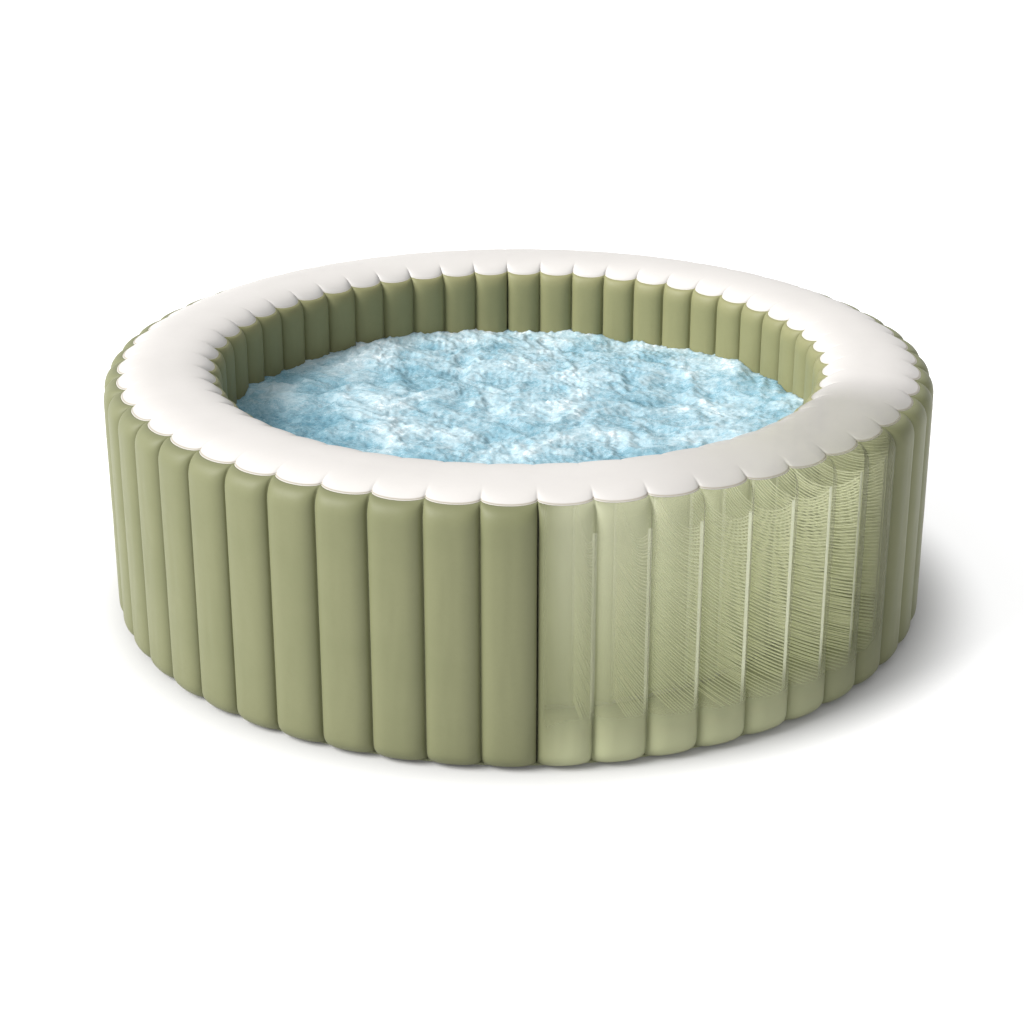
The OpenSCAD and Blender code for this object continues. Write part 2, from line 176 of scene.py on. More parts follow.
def skin_piece(name, p, thick, material, close_cols=False, lining=None):
    """A closed shell: the grid p is its outer face and the inner face lies thick behind it."""
    rows, cols = p.shape[:2]
    back = p - grid_normals(p, close_cols) * thick
    n = rows * cols
    faces = [grid_faces(rows, cols, close_cols), grid_faces(rows, cols, close_cols, n, True)]
    j = np.arange(cols if close_cols else cols - 1)
    k = (j + 1) % cols
    low = np.stack([k, j, j + n, k + n], -1)
    top = (rows - 1) * cols
    high = np.stack([j + top, k + top, k + top + n, j + top + n], -1)
    faces += [low, high]
    if not close_cols:
        i = np.arange(rows - 1) * cols
        left = np.stack([i, i + cols, i + cols + n, i + n], -1)
        r = i + cols - 1
        right = np.stack([r + cols, r, r + n, r + cols + n], -1)
        faces += [left, right]
    verts = np.concatenate([p.reshape(-1, 3), back.reshape(-1, 3)])
    lined = (len(faces[0]), 2 * len(faces[0]))
    return mesh_piece(name, verts, [np.concatenate(faces)], material, lining=lining, lined=lined)


def polar(r, az, z):
    """Azimuth is measured from -Y, turning towards +X."""
    return np.stack([r * np.sin(az), -r * np.cos(az), z + np.zeros_like(r)], -1)


# ---------------------------------------------------------------- smooth noise
def lattice(ix, iy, seed):
    """A hash of whole numbers, from 0 to 0x7FFFFFFF."""
    h = (ix.astype(np.int64) * 374761393 + iy.astype(np.int64) * 668265263 + seed * 974634777) & 0x7FFFFFFF
    h = ((h ^ (h >> 13)) * 1274126177) & 0x7FFFFFFF
    return (h ^ (h >> 16)) & 0x7FFFFFFF


def noise(x, y, seed):
    """Gradient noise, about -1 to 1."""
    x0, y0 = np.floor(x), np.floor(y)
    fx, fy = x - x0, y - y0
    u = fx * fx * fx * (fx * (fx * 6 - 15) + 10)
    v = fy * fy * fy * (fy * (fy * 6 - 15) + 10)
    out = 0
    for dx in (0, 1):
        for dy in (0, 1):
            a = lattice(x0 + dx, y0 + dy, seed) * (2 * math.pi / 0x7FFFFFFF)
            g = np.cos(a) * (fx - dx) + np.sin(a) * (fy - dy)
            out = out + g * (u if dx else 1 - u) * (v if dy else 1 - v)
    return out * 1.5


def fbm(x, y, seed, octaves, gain):
    """Noise summed over octaves."""
    total, amp = 0, 1.0
    for k in range(octaves):
        total = total + amp * noise(x * 2**k, y * 2**k, seed + 17 * k)
        amp *= gain
    return total


def step(a, b, x):
    """A smooth step from 0 at a to 1 at b."""
    t = np.clip((x - a) / (b - a), 0, 1)
    return t * t * (3 - 2 * t)


# ---------------------------------------------------------------- materials
def new_material(name):
    m = bpy.data.materials.new(name)
    m.use_nodes = True
    m.node_tree.nodes.clear()
    return m


class Nodes:
    """Short calls for building a node tree."""

    def __init__(self, m):
        self.t = m.node_tree
        self.coord = self.add("ShaderNodeTexCoord").outputs["Object"]

    def add(self, kind, **sockets):
        n = self.t.nodes.new(kind)
        for k, v in sockets.items():
            self.put(n.inputs[k.replace("_", " ")], v)
        return n

    def put(self, socket, v):
        if isinstance(v, bpy.types.NodeSocket):
            self.t.links.new(v, socket)
        elif v is not None:
            socket.default_value = v

    def math(self, op, a, b=None):
        n = self.t.nodes.new("ShaderNodeMath")
        n.operation = op
        for s, v in zip(n.inputs, (a, b)):
            self.put(s, v)
        return n.outputs[0]

    def noise(self, scale, detail=3.0, rough=0.5, vector=None, distortion=0.0):
        n = self.add(
            "ShaderNodeTexNoise",
            Vector=vector or self.coord,
            Scale=scale,
            Detail=detail,
            Roughness=rough,
            Distortion=distortion,
        )
        return n.outputs["Fac"]

    def voronoi(self, scale, feature="F1", vector=None):
        n = self.t.nodes.new("ShaderNodeTexVoronoi")
        n.feature = feature
        self.put(n.inputs["Vector"], vector or self.coord)
        self.put(n.inputs["Scale"], scale)
        return n.outputs["Distance"]

    def ramp(self, x, lo, hi, a=0.0, b=1.0):
        n = self.t.nodes.new("ShaderNodeMapRange")
        n.interpolation_type = "SMOOTHSTEP"
        for i, v in enumerate((x, lo, hi, a, b)):
            self.put(n.inputs[i], v)
        return n.outputs[0]

    def mix(self, fac, a, b):
        n = self.t.nodes.new("ShaderNodeMix")
        n.data_type = "RGBA"
        self.put(n.inputs["Factor"], fac)
        self.put(n.inputs["A"], a)
        self.put(n.inputs["B"], b)
        return n.outputs["Result"]

    def bump(self, height, strength, distance, normal=None):
        n = self.add("ShaderNodeBump", Height=height, Strength=strength, Distance=distance, Normal=normal)
        return n.outputs[0]

    def xyz(self):
        n = self.add("ShaderNodeSeparateXYZ", Vector=self.coord)
        return n.outputs[0], n.outputs[1], n.outputs[2]

    def azimuth(self):
        """Degrees from -Y, turning towards +X."""
        x, y, _ = self.xyz()
        angle = self.math("ARCTAN2", x, self.math("MULTIPLY", y, -1.0))
        return self.math("MULTIPLY", angle, 180 / math.pi)

    def surface(self, **sockets):
        b = self.t.nodes.new("ShaderNodeBsdfPrincipled")
        for k, v in sockets.items():
            self.put(b.inputs[k.replace("_", " ")], v)
        out = self.t.nodes.new("ShaderNodeOutputMaterial")
        self.t.links.new(b.outputs[0], out.inputs[0])


def rgb(r, g, b):
    """A screen colour from 0 to 255, as linear light."""
    linear = [c / 12.92 if c <= 0.04045 else ((c + 0.055) / 1.055) ** 2.4 for c in (r / 255, g / 255, b / 255)]
    return (*linear, 1.0)


# The see-through part of the wall, in degrees of azimuth.
GHOST_FROM, GHOST_TO = 3.2, 66.0


def window(n, up_from, up_to, down_from, down_to, low_z, fade=0.05):
    """1 inside a sector of the tub and above a height, 0 outside."""
    az = n.azimuth()
    _, _, z = n.xyz()
    starts = n.ramp(az, up_from, up_to)
    ends = n.ramp(az, down_from, down_to, 1.0, 0.0)
    above = n.ramp(z, low_z, low_z + fade)
    return n.math("MULTIPLY", n.math("MULTIPLY", starts, ends), above)


def wall_ghost(n):
    """How far the outer wall lets light through: milky at its start and clearer towards the right."""
    open_part = window(n, GHOST_FROM, GHOST_FROM + 1.6, GHOST_TO - 20, GHOST_TO, 0.03, 0.15)
    clear = n.ramp(n.azimuth(), 8.0, 34.0, 0.62, 0.86)
    return n.math("MULTIPLY", open_part, clear)


def rim_ghost(n):
    """How far the rim lets light through."""
    return n.math("MULTIPLY", window(n, 10, 48, 62, 78, 0.0), 0.56)


def vinyl(name, light, dark, rough=0.52, see_through=None, grain=1.0, milk=None, weld=None):
    """Coated vinyl: a soft mottle, a fine leathery grain and faint scuffs.

    see_through(n) gives how far it lets light through, milk is its colours low and high on that part,
    and weld is the colour of a line of painted shade along a weld.
    """
    m = new_material(name)
    n = Nodes(m)
    mottle = n.ramp(n.noise(5.0, 4.0, 0.55), 0.35, 0.7)
    fine = n.noise(90.0, 3.0, 0.6)
    colour = n.mix(n.math("MULTIPLY", mottle, 0.5), light, dark)
    colour = n.mix(n.math("MULTIPLY", n.ramp(fine, 0.45, 0.75), 0.18), colour, dark)
    if milk:
        _, _, z = n.xyz()
        film = n.mix(n.ramp(z, 0.15, 0.62), milk[0], milk[1])
        milky = window(n, GHOST_FROM, GHOST_FROM + 4, GHOST_TO - 34, GHOST_TO - 8, -1.0)
        colour = n.mix(milky, colour, film)
    if weld:
        # A line of painted shade in the crease along each weld, from the mesh's weld values.
        line = n.add("ShaderNodeAttribute")
        line.attribute_name = "weld"
        colour = n.mix(n.math("MULTIPLY", line.outputs["Fac"], 0.8), colour, weld)
    pebble = n.voronoi(620.0, "SMOOTH_F1")
    crease = n.noise(240.0, 4.0, 0.6)
    height = n.math("ADD", n.math("MULTIPLY", pebble, 0.6), n.math("MULTIPLY", crease, 0.5))
    roughness = n.math("ADD", rough - 0.05, n.math("MULTIPLY", n.noise(22.0, 4.0, 0.6), 0.14))
    big = n.bump(n.noise(9.0, 3.0, 0.5), 0.25, 0.004)
    normal = n.bump(height, 0.22 * grain, 0.0006, big)
    alpha = None
    if see_through:
        alpha = n.math("SUBTRACT", 1.0, see_through(n))
    n.surface(
        Base_Color=colour,
        Roughness=roughness,
        Normal=normal,
        Alpha=alpha,
        Specular_IOR_Level=0.3,
        Sheen_Weight=0.03,
        Sheen_Roughness=0.4,
    )
    return m


OLIVE = rgb(112, 114, 83)
OLIVE_DARK = rgb(104, 107, 76)
WHITE = rgb(194, 191, 188)
WHITE_DARK = rgb(188, 185, 182)
MILK = (rgb(157, 160, 126), rgb(182, 184, 157))
# Colour of the painted shade line along the rim's welds.
SEAM_SHADE_LINE = rgb(128, 118, 92)

mat_outer = vinyl("outer_vinyl", OLIVE, OLIVE_DARK, see_through=wall_ghost, milk=MILK)
mat_inner = vinyl("inner_vinyl", rgb(131, 130, 93), rgb(121, 121, 85))
mat_rim = vinyl("rim_vinyl", WHITE, WHITE_DARK, rough=0.45, grain=0.7, see_through=rim_ghost, weld=SEAM_SHADE_LINE)
mat_base = vinyl("base_vinyl", rgb(176, 180, 144), rgb(160, 164, 128), rough=0.6)
mat_floor = vinyl("floor_vinyl", rgb(176, 205, 214), rgb(150, 186, 200), rough=0.45)
mat_strip = vinyl("strip_vinyl", rgb(236, 239, 212), rgb(226, 230, 198), rough=0.5)


def thread_material():
    """Twisted yarn. It has a painted glow, so that it looks bright where little light reaches it."""
    m = new_material("web_thread")
    n = Nodes(m)
    twist = n.noise(900.0, 2.0, 0.6)
    colour = n.mix(n.ramp(twist, 0.3, 0.7), rgb(214, 217, 178), rgb(236, 238, 206))
    # Colour of the thread's painted glow.
    painted_thread_glow = n.mix(0.5, rgb(120, 122, 96), rgb(128, 130, 104))
    n.surface(
        Base_Color=colour,
        Roughness=0.62,
        Normal=n.bump(twist, 0.4, 0.0003),
        Sheen_Weight=0.3,
        Sheen_Roughness=0.4,
        Emission_Color=painted_thread_glow,
        Emission_Strength=0.6,
    )
    return m


def lining_material():
    """The bare inner side of the vinyl: paler, with the weave of its backing cloth, and a faint painted glow
    of its own colour.
    """
    m = new_material("vinyl_lining")
    n = Nodes(m)
    weave = n.add("ShaderNodeTexChecker", Vector=n.coord, Scale=700.0).outputs["Fac"]
    cloud = n.ramp(n.noise(6.0, 4.0, 0.55), 0.3, 0.7)
    colour = n.mix(cloud, rgb(206, 210, 172), rgb(194, 198, 160))
    colour = n.mix(n.math("MULTIPLY", weave, 0.12), colour, rgb(172, 176, 138))
    normal = n.bump(weave, 0.2, 0.0002)
    # A faint painted glow, so that the lining looks lit inside the closed wall.
    n.surface(Base_Color=colour, Roughness=0.75, Normal=normal, Emission_Color=colour, Emission_Strength=0.1)
    return m


def foam_material():
    """Closed-cell foam."""
    m = new_material("floor_foam")
    n = Nodes(m)
    cells = n.voronoi(300.0, "F1")
    colour = n.mix(n.ramp(cells, 0.1, 0.7), rgb(214, 214, 206), rgb(232, 232, 226))
    n.surface(Base_Color=colour, Roughness=0.9, Normal=n.bump(cells, 0.5, 0.001))
    return m


def plastic(name, colour, wear_and_seam_shade, rough=0.4):
    """Moulded plastic: fine spark-eroded texture, handling marks and a little colour drift."""
    m = new_material(name)
    n = Nodes(m)
    drift = n.ramp(n.noise(14.0, 3.0, 0.5), 0.35, 0.7)
    scuff = n.ramp(n.noise(60.0, 6.0, 0.7, distortion=1.2), 0.58, 0.74)
    base = n.mix(n.math("MULTIPLY", drift, 0.35), colour, wear_and_seam_shade)
    base = n.mix(n.math("MULTIPLY", scuff, 0.25), base, wear_and_seam_shade)
    grain = n.noise(1400.0, 2.0, 0.5)
    roughness = n.math("ADD", rough, n.math("MULTIPLY", scuff, 0.2))
    normal = n.bump(grain, 0.25, 0.0002)
    n.surface(Base_Color=base, Roughness=roughness, Normal=normal, Specular_IOR_Level=0.5)
    return m


def steel_material():
    """Brushed steel."""
    m = new_material("fitting_steel")
    n = Nodes(m)
    stretch = n.add("ShaderNodeMapping", Vector=n.coord, Scale=(60.0, 60.0, 1400.0)).outputs[0]
    brushed = n.noise(1.0, 4.0, 0.6, vector=stretch)
    colour = n.mix(brushed, rgb(176, 178, 180), rgb(206, 207, 208))
    rough = n.ramp(brushed, 0.0, 1.0, 0.24, 0.42)
    n.surface(Base_Color=colour, Metallic=1.0, Roughness=rough, Normal=n.bump(brushed, 0.15, 0.0002))
    return m


def rubber_material():
    """Dark rubber with a little dust."""
    m = new_material("seal_rubber")
    n = Nodes(m)
    dust = n.ramp(n.noise(120.0, 5.0, 0.65), 0.45, 0.75)
    colour = n.mix(n.math("MULTIPLY", dust, 0.5), rgb(36, 37, 37), rgb(70, 71, 70))
    rough = n.math("ADD", 0.62, n.math("MULTIPLY", dust, 0.2))
    n.surface(Base_Color=colour, Roughness=rough, Normal=n.bump(n.noise(700.0, 3.0, 0.6), 0.3, 0.0002))
    return m


mat_thread = thread_material()
mat_lining = lining_material()
mat_foam = foam_material()
mat_grey = plastic("grey_plastic", rgb(112, 114, 112), rgb(132, 134, 131))
mat_white = plastic("white_plastic", rgb(186, 187, 185), rgb(168, 170, 166), 0.32)
mat_dark = plastic("dark_plastic", rgb(46, 49, 48), rgb(74, 77, 75), 0.38)
mat_steel = steel_material()
mat_rubber = rubber_material()


def water_material():
    """Churned water: clear blue in the hollows, white with bubbles on the crests, with a faint painted glow.
    """
    m = new_material("water")
    n = Nodes(m)
    foam = n.add("ShaderNodeAttribute")
    foam.attribute_name = "foam"
    f = foam.outputs["Fac"]
    warp = n.add("ShaderNodeTexNoise", Vector=n.coord, Scale=9.0, Detail=3.0)
    bent = n.t.nodes.new("ShaderNodeVectorMath")
    bent.operation = "MULTIPLY_ADD"
    n.put(bent.inputs[0], warp.outputs["Color"])
    n.put(bent.inputs[1], (0.06, 0.06, 0.06))
    n.put(bent.inputs[2], n.coord)
    v = bent.outputs[0]
    strands = n.noise(24.0, 8.0, 0.68, vector=v, distortion=0.4)
    flecks = n.noise(150.0, 5.0, 0.75, vector=v)
    grit = n.noise(420.0, 3.0, 0.7, vector=v)
    bubbles = n.voronoi(260.0, "F1", vector=v)
    tone = n.math("ADD", n.math("MULTIPLY", strands, 0.75), n.math("MULTIPLY", flecks, 0.62))
    tone = n.math("ADD", tone, n.math("MULTIPLY", grit, 0.35))
    tone = n.math("ADD", tone, n.math("MULTIPLY", f, 0.42))
    blue = n.mix(n.ramp(tone, 0.72, 1.02), rgb(82, 126, 143), rgb(124, 158, 171))
    pale = n.mix(n.ramp(tone, 0.98, 1.26), blue, rgb(160, 182, 190))
    white = n.mix(n.ramp(tone, 1.22, 1.5), pale, rgb(216, 222, 225))
    dots = n.math("MULTIPLY", n.ramp(bubbles, 0.1, 0.3, 1.0, 0.0), n.ramp(flecks, 0.5, 0.6))
    white = n.mix(n.math("MULTIPLY", dots, 0.6), white, rgb(214, 222, 226))
    height = n.math("ADD", n.math("MULTIPLY", strands, 0.8), n.math("MULTIPLY", flecks, 0.3))
    normal = n.bump(height, 0.5, 0.006)
    n.surface(
        Base_Color=white,
        Roughness=n.ramp(tone, 0.8, 1.4, 0.14, 0.5),
        Normal=normal,
        Specular_IOR_Level=0.22,
        IOR=1.33,
        # A faint painted glow of its own colour, which flattens its shading.
        Emission_Color=white,
        Emission_Strength=0.12,
    )
    return m


mat_water = water_material()


# ---------------------------------------------------------------- flutes
def columns(panel, per_flute):
    """Azimuths and place in the flute, -1 to 1, of a panel's columns. They crowd towards the grooves."""
    t = np.linspace(-1, 1, per_flute + 1)
    u = np.sin(t * math.pi / 2)
    u = np.sign(u) * (0.55 * np.abs(u) + 0.45 * np.abs(t))
    az, place = [], []
    for k in range(PER_PANEL):
        c = ((panel - 1) * PER_PANEL + k + 1) * PITCH
        s = u[:-1] if k < PER_PANEL - 1 else u
        az.append(c + s * PITCH / 2)
        place.append(s)
    return np.concatenate(az), np.concatenate(place)


def hump(u, p, q):
    """1 in the middle of a flute and 0 in its grooves. Larger p and q make it squarer."""
    return np.power(np.maximum(1 - np.abs(u) ** p, 0), 1 / q)


def outer_seam(u):
    """Radius and height of the weld between the outer wall and the rim."""
    lobe = hump(u, 2.2, 1.7)
    return 0.9705 * OUT_GROOVE + 0.0235 * lobe, 0.6485 - 0.004 * lobe


def inner_seam(u):
    """Radius and height of the weld between the inner wall and the rim."""
    lobe = hump(u, 2.2, 1.7)
    return 1.0265 * IN_GROOVE - 0.0265 * lobe, 0.6465 - 0.007 * lobe


def outer_side(u):
    """Radius of the outer wall between its foot and its shoulder."""
    return OUT_GROOVE + 0.0305 * hump(u, 3.0, 1.95)


def inner_side(u):
    """Radius of the inner wall below its shoulder."""
    return IN_GROOVE - 0.0255 * hump(u, 2.4, 1.9)


def outer_wall(panel):
    """A quarter of the outer wall, from its foot to its weld with the rim."""
    az, u = columns(panel, OUT_COLUMNS)
    side = outer_side(u)
    seam_r, seam_z = outer_seam(u)
    foot_r = OUT_GROOVE - 0.047 + 0.024 * hump(u, 2.2, 1.8)
    rows = []
    for t in np.linspace(0, math.pi / 2, 13):
        z = FOOT_Z + FOOT_H * (1 - np.cos(t) ** ROUND)
        rows.append((foot_r + (side - foot_r) * np.sin(t) ** ROUND, z))
    low, high = FOOT_Z + FOOT_H, seam_z - OUT_SHOULDER
    for t in np.linspace(0, 1, 26)[1:-1]:
        z = low + (high - low) * t
        flex = 0.0007 * noise(az * 60 + 11, z * 9, 5) * (1 - np.abs(u))
        rows.append((side + flex, z))
    for t in np.linspace(0, math.pi / 2, 15):
        rows.append((seam_r + (side - seam_r) * np.cos(t) ** ROUND, high + OUT_SHOULDER * np.sin(t) ** ROUND))
    p = np.stack([polar(r, az, z) for r, z in rows])
    ob = skin_piece(f"outer_wall_{panel}", p, SKIN, mat_outer)
    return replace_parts(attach(ob, "tub"), f"outer_wall_panel_{panel}")


def inner_wall(panel):
    """A quarter of the inner wall, from its weld with the rim down to the floor."""
    az, u = columns(panel, IN_COLUMNS)
    side = inner_side(u)
    seam_r, seam_z = inner_seam(u)
    rows = []
    for t in np.linspace(math.pi / 2, 0, 14):
        z = seam_z - IN_SHOULDER + IN_SHOULDER * np.sin(t) ** ROUND
        rows.append((seam_r + (side - seam_r) * np.cos(t) ** ROUND, z))
    for t in np.linspace(1, 0, 24)[1:]:
        z = IN_FOOT_Z + (seam_z - IN_SHOULDER - IN_FOOT_Z) * t
        rows.append((side - 0.0006 * noise(az * 60 + 3, z * 9, 8) * (1 - np.abs(u)), z))
    p = np.stack([polar(r, az, z) for r, z in rows])
    ob = skin_piece(f"inner_wall_{panel}", p, SKIN, mat_inner, lining=mat_lining)
    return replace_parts(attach(ob, "tub"), f"inner_wall_panel_{panel}")


def rim():
    """The white sheet: crowned across, with a lobed border tucked under both walls' welds."""
    az, u = [np.concatenate([columns(k, RIM_COLUMNS)[i][:-1] for k in (1, 2, 3, 4)]) for i in (0, 1)]
    r_in, z_in = inner_seam(u)
    r_out, z_out = outer_seam(u)
    r_in, r_out = r_in - TUCK, r_out + TUCK
    rows, wear_and_seam_shade = [], []
    span = r_out - r_in
    low_r, high_r = r_in.min(), r_out.max()
    inner_border, outer_border = [0.0, 0.005, 0.01, 0.017, 0.026], [0.974, 0.983, 0.99, 0.995, 1.0]
    for s in np.concatenate([inner_border, np.linspace(0.04, 0.96, 34), outer_border]):
        r = r_in + span * s
        q = (r - low_r) / (high_r - low_r)
        crown = RIM_LOW + (TOP_Z - RIM_CLEAR - RIM_LOW) * (1 - np.abs(2 * q - 1) ** 2.5)
        edge = np.minimum(s, 1 - s) * span
        seam = (z_in if s < 0.5 else z_out) + 0.0002
        rise = 1 - np.exp(-np.maximum(edge - TUCK, 0) / 0.009)
        under = 0.0014 * np.maximum(1 - edge / TUCK, 0)
        rows.append((r, seam + (crown - seam) * rise - under))
        # A line of painted shade in the crease just inside each weld, stronger along the inner one.
        line = np.exp(-(((edge - TUCK - 0.0008) / 0.0016) ** 2))
        wear_and_seam_shade.append(line * (1.0 if s < 0.5 else 0.25))
    p = np.stack([polar(r, az, z) for r, z in rows])[:, ::-1]
    ob = skin_piece("rim", p, -RIM_SKIN, mat_rim, close_cols=True)
    at = ob.data.attributes.new("weld", "FLOAT", "POINT")
    weld = np.stack(wear_and_seam_shade)[::-1]
    at.data.foreach_set("value", np.concatenate([weld.ravel(), weld.ravel()]).astype(np.float32))
    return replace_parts(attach(ob, "tub"), "top_rim")


for k in (1, 2, 3, 4):
    outer_wall(k)
    inner_wall(k)
rim()


# ---------------------------------------------------------------- webs
def tubes(paths, radius):
    """Closed square tubes along many paths of the same length: paths is count x points x 3."""
    sides = 4
    count, pts = paths.shape[:2]
    along = np.gradient(paths, axis=1)
    along /= np.linalg.norm(along, axis=-1, keepdims=True)
    up = np.array([0, 0, 1.0])
    side = np.cross(along, up)
    side /= np.linalg.norm(side, axis=-1, keepdims=True)
    top = np.cross(side, along)
    a = np.arange(sides) * 2 * math.pi / sides
    ring = side[:, :, None] * np.cos(a)[:, None] + top[:, :, None] * np.sin(a)[:, None]
    v = paths[:, :, None] + ring * radius
    i = np.arange(pts - 1)[:, None] * sides
    j = np.arange(sides)[None, :]
    k = (j + 1) % sides
    q = np.stack([i + j, i + k, i + k + sides, i + j + sides], -1).reshape(-1, 4)
    ends = [np.arange(sides)[::-1][None], (np.arange(sides) + (pts - 1) * sides)[None]]
    one = np.concatenate([q] + ends)
    all_q = (one[None] + (np.arange(count) * pts * sides)[:, None, None]).reshape(-1, 4)
    return v.reshape(-1, 3), all_q


def web_curve(s, z_strip, depth, lean):
    """Height of a thread at s, from 0 at the inner strip to 1 at the outer one."""
    return z_strip + lean * (1 - s) ** 2 - depth * 4 * s * (1 - s)


def web_panel(panel):
    """The thread curtains of one panel, a web behind each groove, with their strips."""
    paths = []
    s = np.linspace(0, 1, 13)
    r0, r1 = IN_GROOVE + 0.0135, OUT_GROOVE - 0.008
    for k in range(PER_PANEL):
        az = ((panel - 1) * PER_PANEL + k + 1.5) * PITCH
        web = (panel - 1) * PER_PANEL + k
        rand = np.random.RandomState(400 + web)
        sag = 0.05 * (0.75 + 0.4 * rand.rand())
        for z in np.arange(WEB_LOW + 0.004, WEB_TOP - 0.004, THREAD_STEP):
            below = WEB_TOP - z
            depth = sag * math.exp(-below / 0.16) + 0.003
            lean = 0.012 * math.exp(-below / 0.1)
            zz = web_curve(s, z, depth, lean) + rand.normal(0, 0.0006)
            zz = np.maximum(zz, WEB_LOW)
            drift = rand.normal(0, 0.0008) * np.sin(math.pi * s)
            r = r0 + (r1 - r0) * s
            x, y = math.sin(az), -math.cos(az)
            paths.append(np.stack([r * x - drift * y, r * y + drift * x, zz], -1))
    v, q = tubes(np.array(paths), THREAD_R)
    ob = mesh_piece(f"web_curtain_{panel}", v, [q], mat_thread)
    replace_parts(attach(ob, "tub"), f"web_threads_{panel}")
    strips("outer", panel, OUT_GROOVE - 0.0062)
    strips("inner", panel, IN_GROOVE + 0.0118)


def strips(kind, panel, r):
    """Welded strips: a flat band with rounded, slightly scalloped edges and a raised welding line."""
    vs, qs = [], []
    z = np.linspace(WEB_LOW, WEB_TOP, 67)
    ring = 14
    a = np.linspace(0, 2 * math.pi, ring + 1)[:-1]
    for k in range(PER_PANEL):
        az = ((panel - 1) * PER_PANEL + k + 1.5) * PITCH
        half = STRIP_WIDE / 2 * (1 + 0.06 * np.cos(z * 2 * math.pi / 0.0166))
        across = np.cos(a)[None, :] * half[:, None]
        deep = np.sin(a)[None, :] * 0.0011 * (1 + 0.5 * np.exp(-((across / 0.0016) ** 2)))
        rr = r + deep
        x = rr * math.sin(az) + across * math.cos(az)
        y = -rr * math.cos(az) + across * math.sin(az)
        p = np.stack([x, y, np.broadcast_to(z[:, None], x.shape)], -1)
        start = sum(len(v) for v in vs)
        vs.append(p.reshape(-1, 3))
        qs.append(grid_faces(len(z), ring, True, start))
        for row, flip in ((0, True), (len(z) - 1, False)):
            b = start + row * ring
            last = b + ring - 1
            cap = np.array([[b + i, b + i + 1, last - 1 - i, last - i] for i in range(ring // 2 - 1)])
            qs.append(cap[:, ::-1] if flip else cap)
    ob = mesh_piece(f"web_{kind}_welds_{panel}", np.concatenate(vs), [np.concatenate(qs)], mat_strip)
    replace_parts(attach(ob, "tub"), f"web_{kind}_strips_{panel}")


for k in (1, 2, 3, 4):
    web_panel(k)


# ---------------------------------------------------------------- floor and base
def disc_grid(n):
    """A square grid bent into a disc of radius 1, so that its edge is smooth."""
    a = np.linspace(-1, 1, n)
    x, y = np.meshgrid(a, a, indexing="xy")
    big = np.maximum(np.abs(x), np.abs(y))
    wide = np.abs(x) >= np.abs(y)
    along_x = math.pi / 4 * y / np.where(x == 0, 1, x)
    along_y = math.pi / 2 - math.pi / 4 * x / np.where(y == 0, 1, y)
    ang = np.where(wide, along_x, along_y)
    sign = np.where(wide, np.sign(x), np.sign(y))
    return big * sign * np.cos(ang), big * sign * np.sin(ang)


def border(n):
    """Indices of a grid's edge, in order, turning with the grid's faces."""
    i = np.arange(n - 1)
    return np.concatenate([i, (n - 1) + i * n, n * n - 1 - i, n * (n - 1) - i * n])


def slab(name, x, y, z_top, z_low, material):
    """A closed solid under a disc-shaped grid, with a level underside."""
    n = x.shape[0]
    top = np.stack([x, y, z_top], -1).reshape(-1, 3)
    b = border(n)
    low = top[b].copy()
    low[:, 2] = z_low
    i = np.arange(len(b)) + n * n
    j = np.roll(i, -1)
    wall = np.stack([b, i, j, np.roll(b, -1)], -1)
    fan = np.stack([j, i, np.full_like(i, n * n + len(b))], -1)
    verts = np.concatenate([top, low, [[0, 0, z_low]]])
    return mesh_piece(name, verts, [np.concatenate([grid_faces(n, n), wall]), fan], material)


def floor_pieces():
    """The tufted floor sheet, the foam pad under it and the base sheet."""
    x, y = disc_grid(150)
    r = np.hypot(x, y)
    rad = IN_R - 0.0006
    px, py = x * rad, y * rad
    a = 0.062  # between tufts
    b = a * math.sqrt(3)
    near = np.full_like(px, 9.0)
    for ox, oy in ((0, 0), (a / 2, b / 2)):
        dx = (px - ox + a / 2) % a - a / 2
        dy = (py - oy + b / 2) % b - b / 2
        near = np.minimum(near, np.hypot(dx, dy))
    tuft = 0.006 * np.exp(-((near / 0.011) ** 2)) + 0.0018 * np.exp(-((near / 0.03) ** 2))
    edge = 0.008 * step(0.94, 1.0, r)
    z = FLOOR_Z + 0.0035 - tuft * (1 - step(0.93, 0.97, r)) - edge
    sheet = slab("floor_cover", px, py, z, FLOOR_Z - 0.006, mat_floor)
    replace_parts(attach(sheet, "tub"), "floor_sheet")
    x2, y2 = disc_grid(90)
    r2 = np.hypot(x2, y2)
    z2 = FLOOR_Z - 0.0065 - 0.004 * step(0.97, 1.0, r2) + 0.0004 * noise(x2 * 30, y2 * 30, 3)
    pad = slab("floor_cushion", x2 * (rad - 0.001), y2 * (rad - 0.001), z2, 0.0032, mat_foam)
    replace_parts(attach(pad, "tub"), "floor_pad")
    x3, y3 = disc_grid(120)
    r3 = np.hypot(x3, y3)
    z3 = 0.0022 + 0.0007 * np.exp(-(((r3 - 0.985) / 0.006) ** 2)) + 0.0003 * noise(x3 * 14, y3 * 14, 9)
    big = OUT_R - 0.042
    base = slab("base_sheet", x3 * big, y3 * big, z3, 0.0, mat_base)
    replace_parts(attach(base, "tub"), "bottom_sheet")


floor_pieces()


